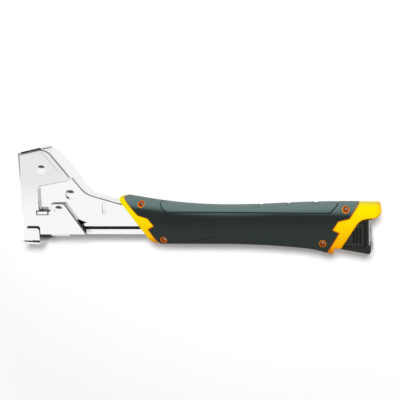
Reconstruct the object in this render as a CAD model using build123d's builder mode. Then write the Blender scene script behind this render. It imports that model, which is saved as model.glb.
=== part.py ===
from build123d import *
from math import cos, pi, radians, sin, sqrt
import os

# Hammer tacker lying on its side. X runs from the nose to the rear, Y to the top of the tool,
# Z across its width. Sizes are in mm and measured from the staple slot at the sole.

# Place of the staple slot in the frame
REF_X = 175.1
REF_Y = 44.1

# Widths and sheet
SHEET = 1.6
HEAD_WIDTH = 32.0
ARM_WIDTH = 22.0
HANDLE_WIDTH = 34.0
BEND_ROUND = 1.8
SLIP = 0.05
RUN_GAP = 0.3

# Rear end of the handle, from which the rear pieces are placed
LOBE_X = 349.2

# Head frame
FRONT_EDGE = -1.0
TOP_FRONT = 92.4
TOP_SLOPE = 0.19
CROWN_X = 27.5
CROWN_ROUND = 14.0
BACK_SLOPE = -1.235
NOTCH_X = 54.2
PANEL_FRONT = 16.2
PANEL_TOP = 58.6
SHELF = 34.0
SHELF_REAR = 28.9
PLATE_TOP = 42.0
PLATE_TOP_REAR = 43.4
PLATE_LOW = 9.7
PLATE_REAR = 66.2
NOSE_CUT_REAR = 16.4
NOSE_CUT_TOP = 18.4
PANEL_ROUND = 5.0
STEP_ROUND = 2.6
EMBOSS_RISE = 0.4
EMBOSS = [(3.2, 90.9), (20.4, 69.8), (39.8, 74.0), (23.4, 93.4)]
EMBOSS_ROUND = 1.5
LANCE_LENGTH = 7.8
LANCE_HEIGHT = 3.4
LANCE_DEPTH = 1.0
LANCE_X = PANEL_FRONT + 4.2
LANCE_Y = SHELF + 1.9
TAB_LENGTH = 12.4
TAB_HEIGHT = 3.8
TAB_RISE = 0.8
TAB_ROUND = 0.5
TAB_X = PANEL_FRONT + 3.7
TAB_Y = SHELF - 2.1

# Arm
ARM_LOW = 17.3
ARM_TOP = 29.5
ARM_END = LOBE_X - 37.2
ARM_SLOPE = -0.286
ARM_SHOULDER_X = 65.7
ARM_SHOULDER_ROUND = 24.0
DIMPLE_X = 84.0
DIMPLE_Y = 36.4
DIMPLE_LENGTH = 12.0
DIMPLE_WIDTH = 2.9
DIMPLE_DEPTH = 0.6
RELIEF = [(54.0, 25.5), (65.5, 21.2), (61.6, 19.8), (63.6, 16.0), (54.0, 16.0)]

# Front plate
FRONT_SHEET = 2.0
FRONT_INSET = 1.0
FRONT_WIDTH = HEAD_WIDTH - 2 * FRONT_INSET
FRONT_LOW = 31.4
FLANGE_END = 22.3
FLANGE_SHEET = 1.5

# Rivets through the frame
RIVET_SHANK = 6.0
HEAD_RIVET_HEAD = 9.2
ARM_RIVET_HEAD = 10.0
RIVET_RISE = 1.0
RIVET_RIM = 0.2
HAMMER_RIVET = (21.7, 76.0)
ARM_RIVET = (49.0, 49.8)
STOP_RIVET = (37.7, 34.6)
SPACER_OD = 8.0

# Hammer block and driver blade
BLADE_SHEET = 1.2
BLADE_PLAY = 0.4
BLADE_TIP = 16.2
BLADE_TOP = 84.0
BLOCK_FIT = 0.4
BLOCK_WIDTH = ARM_WIDTH - 2 * (SHEET + BLOCK_FIT)
BLOCK_REAR = 30.5
BLOCK_LOW = 54.0
BLOCK_TOP = 86.0
BLOCK_ROUND = 3.0

# Magazine and its swing
PIVOT_X = LOBE_X - 49.2
PIVOT_Y = 22.5
PIVOT_PIN = 6.0
BUSH_OD = 9.0
SWING = 3.0
BRACKET_SHEET = 2.0
BRACKET_PLAY = 0.4
CHANNEL_WIDTH = ARM_WIDTH - 2 * (SHEET + BRACKET_SHEET + BRACKET_PLAY)
CHANNEL_SHEET = 1.2
CHANNEL_LOW = 6.7
CHANNEL_TOP = 13.5
CHANNEL_FRONT = 1.7
CHANNEL_END = LOBE_X - 19.2
LEG_GAP = 1.6
CORE_WIDTH = CHANNEL_WIDTH - 2 * (CHANNEL_SHEET + LEG_GAP)
CORE_TOP = 14.5
CORE_SHEET = 1.0
CORE_SLOT = 2.6
LATCH_SLOT_HEIGHT = 3.4
GUIDE_FRONT = -0.6
TOWER_FRONT = 31.0
TOWER_REAR = 43.0
TOWER_TOP = 43.0
TOWER_FLARE = 3.0
TOWER_ROUND = 3.0
STOP_PLAY = 0.4
BRIDGE_LOW = 17.2
BRIDGE_SHEET = 2.0
EAR_LENGTH = 20.0
EAR_TOP = 26.8
EAR_ROUND = 4.0
EAR_BAR = 1.4
EAR_BAR_GAP = 0.5

# Nose foot and sole
FOOT_FRONT = -2.7
FOOT_REAR = 14.0
FOOT_TOP = 15.4
FOOT_PLAY = 1.4
FOOT_WIDTH = HEAD_WIDTH - 2 * (SHEET + FOOT_PLAY)
FOOT_CHAMFER = 2.0
FOOT_ROUND = 3.0
SLOT_FRONT = -0.95
SLOT_REAR = 1.65
SLOT_WIDTH = CHANNEL_WIDTH - 2 * CHANNEL_SHEET
BLADE_WIDTH = SLOT_WIDTH - 2 * BLADE_PLAY
TAIL_END = 25.5
TAIL_SHEET = 2.2
SOLE_FRONT = -6.6
SOLE_REAR = 13.8
SOLE_SHEET = 1.8
SOLE_WIDTH = HEAD_WIDTH - 2 * FRONT_INSET
SOLE_ROUND = 0.8
SOLE_SLOPE = -0.061

# Return spring
SPRING_X = 21.0
SPRING_MEAN = 10.4
SPRING_WIRE = 1.7
SPRING_TURNS = 7
SPRING_SEAT_SHEET = 1.2
SPRING_PEG = 7.6
SPRING_PEG_RISE = 5.0
SPRING_SEAT_RIM = 1.2

# Pusher rod, follower and its spring
ROD = 2.4
ROD_Y = 11.2
ROD_TIP = 3.0
ROD_HEAD = 3.8
ROD_HEAD_LENGTH = 1.7
FOLLOWER_FRONT = 2.8
FOLLOWER_LENGTH = 15.2
FOLLOWER_TOP = 15.8
FOLLOWER_SHEET = 0.8
FOLLOWER_WIDTH = CORE_WIDTH + 2 * (RUN_GAP + FOLLOWER_SHEET)
FOLLOWER_WEB = 2.0
RING_OD = 4.0
RING_LENGTH = 10.0
COIL_MEAN = 3.5
COIL_WIRE = 0.7
COIL_TURNS = 36

# Handle
GRIP_ROUND = 10.0
GRIP_SKIN = 2.4
COLLAR_TIP_X = 98.2
COLLAR_SLOPE = -1.33
COLLAR_LOW_ROUND = 15.0
COLLAR_TIP_ROUND = 3.0
COLLAR_STEP = 1.0
SKIN_STEP = 0.3
TOP_COLLAR_Y = 48.5
TOP_COLLAR_SLOPE = -0.177
TOP_BEND_X = 123.4
TOP_WAIST = (212.0, 36.2)
TOP_SWELL = (255.0, 37.2)
TOP_REAR_X = LOBE_X - 9.2
TOP_REAR_Y = 38.7
BELLY_Y = -1.2
BELLY_BEND_X = 205.0
HEEL_X = LOBE_X - 43.2
HEEL_Y = -9.75
HEEL_DROP = 0.4
HEEL_BEND = (HEEL_X - 21.0, -5.15)
HEEL_REAR = HEEL_X + 5.6
HEEL_NOTCH_X = HEEL_X + 6.9
HEEL_NOTCH_Y = -4.2
HEEL_ROUND = 1.2
LOBE_END = LOBE_X + 7.6
LOBE_TOP = 38.9
LOBE_ROUND = 5.5
LOBE_CHIN_Y = 28.4
LOBE_CHIN_ROUND = 7.0
LOBE_LOW = (LOBE_X + 1.8, 24.8)
LOBE_LOW_ROUND = 2.8
LOBE_EDGE = 2.4
REAR_FOOT = (LOBE_X - 29.8, HEEL_NOTCH_Y)
REAR_FOOT_ROUND = 1.5
REAR_CORNER = (LOBE_X - 11.7, 23.6)
REAR_ROUND = 11.8
ARM_FIT = 0.25
CHANNEL_FIT = 0.5

# Edges of the rubber skin, from the top down at the front and from the heel up at the rear
SKIN_FRONT = [
    (104.6, 52.0), (105.4, 47.3), (120.9, 29.1), (130.6, 26.2), (137.1, 18.0), (131.0, 14.7), (148.0, -9.0)]
SKIN_REAR = [
    (LOBE_X - 45.2, -14.0), (LOBE_X - 43.7, -8.7), (LOBE_X - 31.9, 11.1), (LOBE_X - 38.1, 14.1),
    (LOBE_X - 32.4, 22.7), (LOBE_X - 22.0, 25.4), (LOBE_X - 8.2, 47.0)]
GROOVE_WIDTH = 1.0
GROOVE_DEPTH = 0.9
PAD_BORDER = [
    (139.5, 47.0), (145.2, 36.0), (150.0, 32.2),
    (LOBE_X - 39.8, 30.5), (LOBE_X - 34.2, 36.3), (LOBE_X - 28.2, 46.0)]
PAD_ROUND = 5.0
ARC_LINE = [(177.9, 3.1), (228.0, 9.3), (HEEL_X - 34.9, 3.9)]
NOTCHES = [LOBE_X - 108.3, LOBE_X - 81.1, LOBE_X - 54.3]
NOTCH_WIDTH = 4.6
NOTCH_DEPTH = 1.7

# Handle screws
SCREWS = [(124.2, 40.0), (146.0, 4.0), (LOBE_X - 25.2, 33.7), (HEEL_X - 4.0, 1.3)]
SCREW_SHANK = 2.6
SCREW_HEAD = 4.8
SCREW_HEAD_HEIGHT = 2.0
SCREW_DEPTH = 7.0
SCREW_COVER = 5.0
SCREW_SEAT = HANDLE_WIDTH / 2 - SCREW_DEPTH
SCREW_END = SCREW_COVER - HANDLE_WIDTH / 2
RECESS = 5.8
BOSS = 6.8
DRIVE_SLOT = 0.8
DRIVE_SPAN = 3.0
DRIVE_DEPTH = 1.0

# End cap, latch levers and end plate
CAP_FRONT = LOBE_X - 28.2
CAP_REAR = LOBE_X - 2.2
CAP_TOP = 23.2
CAP_LOW_FRONT = -5.2
CAP_CHIN = 4.0
CAP_CHIN_LOW = -4.6
CAP_LOW_REAR = -9.7
CAP_HEEL = (1.6, 2.6)
CAP_ROUNDS = [0.8, 0.8, 0.8, 0.3, 0.3, 1.2, 2.0, 0.5, 0.5]
CAP_SEAT = CAP_REAR - 1.9
CAP_SEAT_LOW = -1.6
CAP_SIDE = 5.0
CAP_WIDTH = CHANNEL_WIDTH + 2 * CAP_SIDE
CAP_WEB = CHANNEL_WIDTH - 2.0
POCKET_REAR = CAP_REAR - 4.9
POCKET_LOW = -2.6
POCKET_TOP = 20.5
POCKET_OPEN = 4.6
POCKET_ROUND = 1.2
LATCH_PIN_X = CAP_FRONT + 10.0
LATCH_PIN = 2.5
LATCH_PIN_Z = CAP_WIDTH / 2 - 2.5
LATCH_EYE = 1.1
LATCH_REAR = POCKET_REAR - 1.0
LATCH_GAP = 0.5
LATCH_ROUND = 1.0
LATCH_INNER = CHANNEL_WIDTH / 2 + 1.6
LATCH_NOSE_OUTER = CAP_WIDTH / 2 - 1.4
LATCH_ARM_FRONT = CAP_FRONT - 4.0
LATCH_ARM_ROOT = 3.0
LATCH_ARM_INNER = CHANNEL_WIDTH / 2 + 0.6
LATCH_ARM_OUTER = LATCH_ARM_INNER + 2.2
LATCH_SLOT_FRONT = LATCH_ARM_FRONT - 2.0
LATCH_Y = ROD_Y - 0.6
NUB_DEPTH = 1.3
NUB_LENGTH = 2.2
NUB_HEIGHT = 2.6
RIBS = 3
RIB_PITCH = 3.1
RIB_LOW = 0.8
RIB_TOP = 15.4
RIB_WIDTH = 1.4
RIB_DEPTH = 1.2
LATCH_SPRING_X = LATCH_REAR - 3.2
LATCH_SPRING_MEAN = 3.2
LATCH_SPRING_WIRE = 0.5
LATCH_SPRING_TURNS = 2
CAP_FIT = 0.4
CAP_BAY_FRONT = CAP_FRONT - CAP_CHIN - 2.0
CAP_BAY_TOP = CAP_TOP + 0.8
CAP_BAY_WIDTH = CAP_WIDTH + 2 * CAP_FIT
END_SHEET = 1.1
END_FOLD = 0.9
END_REAR = CAP_SEAT + 2 * END_SHEET + END_FOLD
END_WIDTH = CAP_WIDTH - 3.0
END_TOP = CAP_TOP - 0.4
END_BEND = 2.6
END_LOW = -5.9
END_OVERLAP = 0.4
LIP_OUT = 0.9

HALF = HANDLE_WIDTH / 2
TOOL = Plane(origin=(-REF_X, -REF_Y, HALF), x_dir=(1, 0, 0), z_dir=(0, 0, 1))


def across(z):
    return TOOL.offset(z)


def along(x, y=0.0, z=0.0):
    return Plane(origin=(x - REF_X, y - REF_Y, z + HALF), x_dir=(0, 1, 0), z_dir=(1, 0, 0))


def upright(x, y, z=0.0):
    return Plane(origin=(x - REF_X, y - REF_Y, z + HALF), x_dir=(1, 0, 0), z_dir=(0, 1, 0))


def top_line(x):
    return TOP_FRONT + TOP_SLOPE * (x - FRONT_EDGE)


CROWN_Y = top_line(CROWN_X)
NOTCH_Y = CROWN_Y + BACK_SLOPE * (NOTCH_X - CROWN_X)
ARM_SHOULDER_Y = CROWN_Y + BACK_SLOPE * (ARM_SHOULDER_X - CROWN_X)
ARM_BEND_X = ARM_SHOULDER_X + (ARM_TOP - ARM_SHOULDER_Y) / ARM_SLOPE
PLATE_LEAN = (PLATE_TOP_REAR - PLATE_REAR) / (PLATE_TOP - PLATE_LOW)


def head_points(front, low):
    plate_rear = PLATE_REAR + PLATE_LEAN * (low - PLATE_LOW)
    return [
        (front, low),
        (plate_rear, low),
        (PLATE_TOP_REAR, PLATE_TOP),
        (SHELF_REAR, PLATE_TOP),
        (SHELF_REAR, SHELF),
        (PANEL_FRONT, SHELF),
        (PANEL_FRONT, PANEL_TOP),
        (NOTCH_X, NOTCH_Y),
        (CROWN_X, CROWN_Y),
        (front, top_line(front)),
    ]


HEAD_ROUNDS = [
    0, 0, PANEL_ROUND, STEP_ROUND, STEP_ROUND, STEP_ROUND, PANEL_ROUND, STEP_ROUND, CROWN_ROUND, 0]


def arm_points(front, low, end):
    return [
        (front, low),
        (end, low),
        (end, ARM_TOP),
        (ARM_BEND_X, ARM_TOP),
        (ARM_SHOULDER_X, ARM_SHOULDER_Y),
        (CROWN_X, CROWN_Y),
        (front, top_line(front)),
    ]


ARM_ROUNDS = [0, 0, 0, ARM_SHOULDER_ROUND, ARM_SHOULDER_ROUND, CROWN_ROUND, 0]
BEYOND = 24.0


# Arm blank, with the bent upper edges rounded
with BuildPart() as arm_blank:
    with BuildSketch(across(0)):
        with BuildLine():
            FilletPolyline(*arm_points(FRONT_EDGE, ARM_LOW, ARM_END), radius=ARM_ROUNDS, close=True)
        make_face()
    extrude(amount=ARM_WIDTH / 2, both=True)
    arm_sides = faces().filter_by(Axis.Z)
    fillet([e for e in arm_sides.edges()
            if e.center().Y > ARM_LOW - REF_Y + 1 and e.center().X > FRONT_EDGE - REF_X + 1
            and e.center().X < ARM_END - REF_X - 1], BEND_ROUND)

# Head frame
with BuildPart() as head_frame:
    with BuildSketch(across(0)):
        with BuildLine():
            FilletPolyline(*head_points(FRONT_EDGE, PLATE_LOW), radius=HEAD_ROUNDS, close=True)
        make_face()
    extrude(amount=HEAD_WIDTH / 2, both=True)
    head_sides = faces().filter_by(Axis.Z)
    fillet([e for e in head_sides.edges()
            if e.center().Y > PLATE_LOW - REF_Y + 1 and e.center().X > FRONT_EDGE - REF_X + 1], BEND_ROUND)
    add(arm_blank.part)
    # Hollow of the head and of the arm, open at the front, below and at the rear
    with BuildSketch(across(0)):
        with BuildLine():
            FilletPolyline(*head_points(FRONT_EDGE - BEYOND, -BEYOND), radius=HEAD_ROUNDS, close=True)
        make_face()
        offset(amount=-SHEET, kind=Kind.INTERSECTION)
    extrude(amount=HEAD_WIDTH / 2 - SHEET, both=True, mode=Mode.SUBTRACT)
    with BuildSketch(across(0)):
        with BuildLine():
            hollow = arm_points(FRONT_EDGE - BEYOND, -BEYOND, ARM_END + BEYOND)
            FilletPolyline(*hollow, radius=ARM_ROUNDS, close=True)
        make_face()
        offset(amount=-SHEET, kind=Kind.INTERSECTION)
    extrude(amount=ARM_WIDTH / 2 - SHEET, both=True, mode=Mode.SUBTRACT)
    # Cut-out for the nose foot
    with BuildSketch(across(0)):
        with BuildLine():
            FilletPolyline(
                (FRONT_EDGE - BEYOND, -BEYOND), (NOSE_CUT_REAR, -BEYOND),
                (NOSE_CUT_REAR, NOSE_CUT_TOP), (FRONT_EDGE - BEYOND, NOSE_CUT_TOP),
                radius=[0, 0, STEP_ROUND, 0], close=True)
        make_face()
    extrude(amount=HEAD_WIDTH, both=True, mode=Mode.SUBTRACT)
    # Raised panel on each side of the head
    for side in (1, -1):
        with BuildSketch(across(side * HEAD_WIDTH / 2)):
            with BuildLine():
                FilletPolyline(*EMBOSS, radius=EMBOSS_ROUND, close=True)
            make_face()
        extrude(amount=side * EMBOSS_RISE)
    # Raised tab with a pressed pocket above it, and the pressed dimple in the arm
    for side in (1, -1):
        with BuildSketch(across(side * HEAD_WIDTH / 2)):
            with Locations((TAB_X, TAB_Y)):
                Rectangle(TAB_LENGTH, TAB_HEIGHT)
        extrude(amount=side * TAB_RISE)
        tab_face = faces().filter_by(Axis.Z).sort_by(Axis.Z)[-1 if side > 0 else 0]
        fillet(tab_face.edges(), TAB_ROUND)
        with BuildSketch(across(side * ARM_WIDTH / 2)):
            with Locations((LANCE_X, LANCE_Y)):
                Rectangle(LANCE_LENGTH, LANCE_HEIGHT)
        extrude(amount=-side * LANCE_DEPTH, mode=Mode.SUBTRACT)
        with BuildSketch(across(side * ARM_WIDTH / 2)):
            with Locations((DIMPLE_X, DIMPLE_Y)):
                SlotOverall(DIMPLE_LENGTH, DIMPLE_WIDTH, rotation=90)
        extrude(amount=-side * DIMPLE_DEPTH, mode=Mode.SUBTRACT)
    # Relief where the lower edge of the arm meets the side plates
    with BuildSketch(across(0)):
        with BuildLine():
            Polyline(*RELIEF, close=True)
        make_face()
    extrude(amount=ARM_WIDTH / 2 + SLIP, both=True, mode=Mode.SUBTRACT)
    # Rivet holes and the pivot holes
    with BuildSketch(across(0)):
        with Locations(HAMMER_RIVET, ARM_RIVET, STOP_RIVET):
            Circle(RIVET_SHANK / 2 + SLIP)
        with Locations((PIVOT_X, PIVOT_Y)):
            Circle(PIVOT_PIN / 2 + SLIP)
    extrude(amount=HEAD_WIDTH, both=True, mode=Mode.SUBTRACT)
head_frame.part.label = "head_frame"

# Front plate with its flange over the top
with BuildPart() as front_plate:
    with BuildSketch(across(0)):
        flange_top = FLANGE_SHEET * sqrt(1 + TOP_SLOPE ** 2)
        with BuildLine():
            FilletPolyline(
                (FRONT_EDGE, FRONT_LOW),
                (FRONT_EDGE, top_line(FRONT_EDGE)),
                (FLANGE_END, top_line(FLANGE_END)),
                (FLANGE_END, top_line(FLANGE_END) + flange_top),
                (FRONT_EDGE - FRONT_SHEET, top_line(FRONT_EDGE - FRONT_SHEET) + flange_top),
                (FRONT_EDGE - FRONT_SHEET, FRONT_LOW),
                radius=[0, 0, 0, 0, FRONT_SHEET, 0], close=True)
        make_face()
    extrude(amount=FRONT_WIDTH / 2, both=True)
front_plate.part.label = "front_plate"


def rivet(place, seat, head, rise):
    with BuildPart() as pin:
        with BuildSketch(across(0)):
            with Locations(place):
                Circle(RIVET_SHANK / 2)
        extrude(amount=seat, both=True)
        dome_rise = rise - RIVET_RIM
        dome_radius = (head ** 2 / 4 + dome_rise ** 2) / (2 * dome_rise)
        for side in (1, -1):
            with BuildPart(mode=Mode.PRIVATE) as dome:
                with BuildSketch(across(side * seat)):
                    with Locations(place):
                        Circle(head / 2)
                extrude(amount=side * rise)
                with Locations(across(side * (seat + rise - dome_radius))):
                    with Locations((place[0], place[1], 0)):
                        Sphere(dome_radius, mode=Mode.INTERSECT)
            add(dome.part)
    return pin.part


# Rivets
hammer_rivet = rivet(HAMMER_RIVET, HEAD_WIDTH / 2 + EMBOSS_RISE, HEAD_RIVET_HEAD, RIVET_RISE - EMBOSS_RISE)
hammer_rivet.label = "hammer_rivet"
arm_rivet = rivet(ARM_RIVET, ARM_WIDTH / 2, ARM_RIVET_HEAD, RIVET_RISE)
arm_rivet.label = "arm_rivet"
stop_rivet = rivet(STOP_RIVET, HEAD_WIDTH / 2, HEAD_RIVET_HEAD, RIVET_RISE)
stop_rivet.label = "stop_rivet"

# Spacer tube round the arm rivet
with BuildPart() as arm_spacer:
    with BuildSketch(across(0)):
        with Locations(ARM_RIVET):
            Circle(SPACER_OD / 2)
            Circle(RIVET_SHANK / 2 + SLIP, mode=Mode.SUBTRACT)
    extrude(amount=ARM_WIDTH / 2 - SHEET, both=True)
arm_spacer.part.label = "arm_spacer"

# Hammer block with the upper spring peg
with BuildPart() as hammer_block:
    with BuildSketch(across(0)):
        with BuildLine():
            FilletPolyline(
                (BLADE_SHEET / 2, BLOCK_LOW), (BLOCK_REAR, BLOCK_LOW),
                (BLOCK_REAR, BLOCK_TOP), (BLADE_SHEET / 2, BLOCK_TOP),
                radius=[0, BLOCK_ROUND, BLOCK_ROUND, 0], close=True)
        make_face()
        with Locations(HAMMER_RIVET):
            Circle(RIVET_SHANK / 2 + SLIP, mode=Mode.SUBTRACT)
    extrude(amount=BLOCK_WIDTH / 2, both=True)
    with BuildSketch(upright(SPRING_X, BLOCK_LOW)):
        Circle(SPRING_PEG / 2)
    extrude(amount=-SPRING_PEG_RISE)
hammer_block.part.label = "hammer_block"

# Driver blade against the front of the hammer block
with BuildPart() as driver_blade:
    with BuildSketch(upright(0, BLADE_TIP)):
        Rectangle(BLADE_SHEET, BLADE_WIDTH)
    extrude(amount=BLADE_TOP - BLADE_TIP)
driver_blade.part.label = "driver_blade"


def sole_line(x):
    return SOLE_SLOPE * x


# Sole plate, a little tilted to the magazine
with BuildPart() as sole_plate:
    with BuildSketch(across(0)):
        with BuildLine():
            FilletPolyline(
                (SOLE_FRONT, sole_line(SOLE_FRONT)), (SOLE_REAR, sole_line(SOLE_REAR)),
                (SOLE_REAR, sole_line(SOLE_REAR) + SOLE_SHEET),
                (SOLE_FRONT, sole_line(SOLE_FRONT) + SOLE_SHEET),
                radius=[0, 0, 0, SOLE_ROUND], close=True)
        make_face()
    extrude(amount=SOLE_WIDTH / 2, both=True)
    with BuildSketch(upright((SLOT_FRONT + SLOT_REAR) / 2, -BEYOND)):
        Rectangle(SLOT_REAR - SLOT_FRONT, SLOT_WIDTH)
    extrude(amount=2 * BEYOND, mode=Mode.SUBTRACT)
sole_plate.part.label = "sole_plate"

# Nose foot, a block with the driver slot and a seat for the front of the magazine
with BuildPart() as nose_foot:
    with BuildSketch(across(0)):
        with BuildLine():
            FilletPolyline(
                (FOOT_FRONT, sole_line(FOOT_FRONT) + SOLE_SHEET),
                (FOOT_REAR, sole_line(FOOT_REAR) + SOLE_SHEET),
                (FOOT_REAR, FOOT_TOP),
                (FOOT_FRONT + FOOT_CHAMFER, FOOT_TOP),
                (FOOT_FRONT, FOOT_TOP - FOOT_CHAMFER),
                radius=[0, 0, FOOT_ROUND, 0, 0], close=True)
        make_face()
    extrude(amount=FOOT_WIDTH / 2, both=True)
    with BuildSketch(along(FOOT_REAR)):
        with Locations((CHANNEL_LOW - TAIL_SHEET / 2, 0)):
            Rectangle(TAIL_SHEET, CHANNEL_WIDTH)
    extrude(amount=TAIL_END - FOOT_REAR)
    with BuildSketch(upright((SLOT_FRONT + SLOT_REAR) / 2, -BEYOND)):
        Rectangle(SLOT_REAR - SLOT_FRONT, SLOT_WIDTH)
    extrude(amount=2 * BEYOND, mode=Mode.SUBTRACT)
    with BuildSketch(along(SLOT_REAR)):
        with Locations((CHANNEL_LOW + BEYOND / 2, 0)):
            Rectangle(BEYOND, CHANNEL_WIDTH + 2 * SLIP)
    extrude(amount=FOOT_REAR - SLOT_REAR, mode=Mode.SUBTRACT)
nose_foot.part.label = "nose_foot"

# Magazine channel, with a slot open to the rear for the latch on each side
with BuildPart() as magazine_channel:
    with BuildSketch(along(CHANNEL_FRONT)):
        with Locations(((CHANNEL_LOW + CHANNEL_TOP) / 2, 0)):
            Rectangle(CHANNEL_TOP - CHANNEL_LOW, CHANNEL_WIDTH)
        with Locations((CHANNEL_LOW + CHANNEL_SHEET + BEYOND / 2, 0)):
            Rectangle(BEYOND, CHANNEL_WIDTH - 2 * CHANNEL_SHEET, mode=Mode.SUBTRACT)
    extrude(amount=CHANNEL_END - CHANNEL_FRONT)
    with BuildSketch(across(0)):
        with Locations(((LATCH_SLOT_FRONT + CHANNEL_END + BEYOND) / 2, LATCH_Y)):
            Rectangle(CHANNEL_END + BEYOND - LATCH_SLOT_FRONT, LATCH_SLOT_HEIGHT)
    extrude(amount=CHANNEL_WIDTH, both=True, mode=Mode.SUBTRACT)
magazine_channel.part.label = "magazine_channel"

# Core rail that the staples ride on, slotted along its top
CORE_LOW = CHANNEL_LOW + CHANNEL_SHEET
with BuildPart() as core_rail:
    with BuildSketch(along(CHANNEL_FRONT)):
        with Locations(((CORE_LOW + CORE_TOP) / 2, 0)):
            Rectangle(CORE_TOP - CORE_LOW, CORE_WIDTH)
            Rectangle(CORE_TOP - CORE_LOW - 2 * CORE_SHEET, CORE_WIDTH - 2 * CORE_SHEET, mode=Mode.SUBTRACT)
        with Locations((CORE_TOP, 0)):
            Rectangle(4 * CORE_SHEET, CORE_SLOT, mode=Mode.SUBTRACT)
    extrude(amount=CHANNEL_END - CHANNEL_FRONT)
core_rail.part.label = "core_rail"

# Nose bracket, two plates with the stop slots and a bridge over the staples
STOP_TRAVEL = (PIVOT_X - STOP_RIVET[0]) * sin(radians(SWING))
STOP_SHORT = (PIVOT_X - STOP_RIVET[0]) * (1 - cos(radians(SWING)))
STOP_LEAN = (STOP_RIVET[1] - PIVOT_Y) * sin(radians(SWING)) - STOP_SHORT
BRIDGE_TOP = BRIDGE_LOW + BRIDGE_SHEET
with BuildPart() as nose_bracket:
    with BuildSketch(across(CHANNEL_WIDTH / 2)):
        with BuildLine():
            FilletPolyline(
                (FOOT_REAR, CHANNEL_LOW), (TOWER_REAR + TOWER_FLARE, CHANNEL_LOW), (TOWER_REAR, CHANNEL_TOP),
                (TOWER_REAR, TOWER_TOP), (TOWER_FRONT, TOWER_TOP), (TOWER_FRONT, BRIDGE_TOP),
                (GUIDE_FRONT, BRIDGE_TOP), (GUIDE_FRONT, FOOT_TOP), (FOOT_REAR, FOOT_TOP),
                radius=[0, 0, 0, TOWER_ROUND, TOWER_ROUND, 0, 0, 0, 0], close=True)
        make_face()
        with Locations((STOP_RIVET[0] - STOP_LEAN / 2, STOP_RIVET[1] - STOP_TRAVEL / 2)):
            SlotCenterToCenter(STOP_TRAVEL, RIVET_SHANK + 2 * STOP_PLAY, rotation=90, mode=Mode.SUBTRACT)
    extrude(amount=BRACKET_SHEET)
    mirror(about=TOOL)
    with BuildSketch(across(0)):
        with Locations(((FOOT_REAR + TOWER_FRONT) / 2, BRIDGE_LOW + BRIDGE_SHEET / 2)):
            Rectangle(TOWER_FRONT - FOOT_REAR, BRIDGE_SHEET)
    extrude(amount=CHANNEL_WIDTH / 2, both=True)
nose_bracket.part.label = "nose_bracket"

# Seat of the return spring
with BuildPart() as spring_seat:
    with BuildSketch(upright(SPRING_X, BRIDGE_TOP)):
        Circle((SPRING_MEAN + SPRING_WIRE) / 2 + SPRING_SEAT_RIM)
    extrude(amount=SPRING_SEAT_SHEET)
    with BuildSketch(upright(SPRING_X, BRIDGE_TOP + SPRING_SEAT_SHEET)):
        Circle(SPRING_PEG / 2)
    extrude(amount=SPRING_PEG_RISE)
spring_seat.part.label = "spring_seat"


def coil(place, mean, wire, turns, length, steps, label):
    # Helix drawn with a pair of arcs for each step of a turn
    radius = mean / 2
    rise = length / turns
    slant = sqrt((2 * pi * radius) ** 2 + rise ** 2)

    def point(turn):
        a = 2 * pi * turn
        return place.from_local_coords(Vector(radius * cos(a), radius * sin(a), rise * turn))

    def heading(turn):
        a = 2 * pi * turn
        way = Vector(-2 * pi * radius * sin(a), 2 * pi * radius * cos(a), rise) / slant
        return place.from_local_coords(way) - place.from_local_coords(Vector(0, 0, 0))

    with BuildPart() as spring:
        with BuildLine() as path:
            for n in range(turns * steps):
                p0, p1 = point(n / steps), point((n + 1) / steps)
                t0, t1 = heading(n / steps), heading((n + 1) / steps)
                v, t = p1 - p0, t0 + t1
                w = 2 * (1 - t0.dot(t1))
                reach = (sqrt(v.dot(t) ** 2 + w * v.dot(v)) - v.dot(t)) / w
                c, e = p0 + t0 * reach, p1 - t1 * reach
                joint = (c + e) / 2
                TangentArc(p0, joint, tangent=t0)
                TangentArc(joint, p1, tangent=(e - c).normalized())
        with BuildSketch(Plane(origin=point(0), z_dir=heading(0))):
            Circle(wire / 2)
        sweep(path=path.wires()[0])
    ring = [point(n / 48) for n in range(49)]
    gap = min((p - q).length for p in [point(1)] for q in ring[:24]) - wire
    print(label, "least gap between turns", round(gap, 2))
    spring.part.label = label
    return spring.part


# Return spring between its seat and the hammer block
SPRING_FREE = BLOCK_LOW - BRIDGE_TOP - SPRING_SEAT_SHEET - SPRING_WIRE - 2 * SLIP
spring_foot = upright(SPRING_X, BRIDGE_TOP + SPRING_SEAT_SHEET + SPRING_WIRE / 2 + SLIP)
return_spring = coil(spring_foot, SPRING_MEAN, SPRING_WIRE, SPRING_TURNS, SPRING_FREE, 4, "return_spring")

# Pivot bracket on the rear of the magazine
with BuildPart() as pivot_bracket:
    with BuildSketch(across(CHANNEL_WIDTH / 2)):
        with BuildLine():
            FilletPolyline(
                (PIVOT_X - EAR_LENGTH / 2, CHANNEL_LOW), (PIVOT_X + EAR_LENGTH / 2, CHANNEL_LOW),
                (PIVOT_X + EAR_LENGTH / 2, EAR_TOP), (PIVOT_X - EAR_LENGTH / 2, EAR_TOP),
                radius=[0, 0, EAR_ROUND, EAR_ROUND], close=True)
        make_face()
        with Locations((PIVOT_X, PIVOT_Y)):
            Circle(PIVOT_PIN / 2 + SLIP, mode=Mode.SUBTRACT)
    extrude(amount=BRACKET_SHEET)
    mirror(about=TOOL)
    with BuildSketch(across(0)):
        with Locations((PIVOT_X, FOLLOWER_TOP + EAR_BAR_GAP + EAR_BAR / 2)):
            Rectangle(EAR_LENGTH, EAR_BAR)
    extrude(amount=CHANNEL_WIDTH / 2, both=True)
pivot_bracket.part.label = "pivot_bracket"

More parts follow.
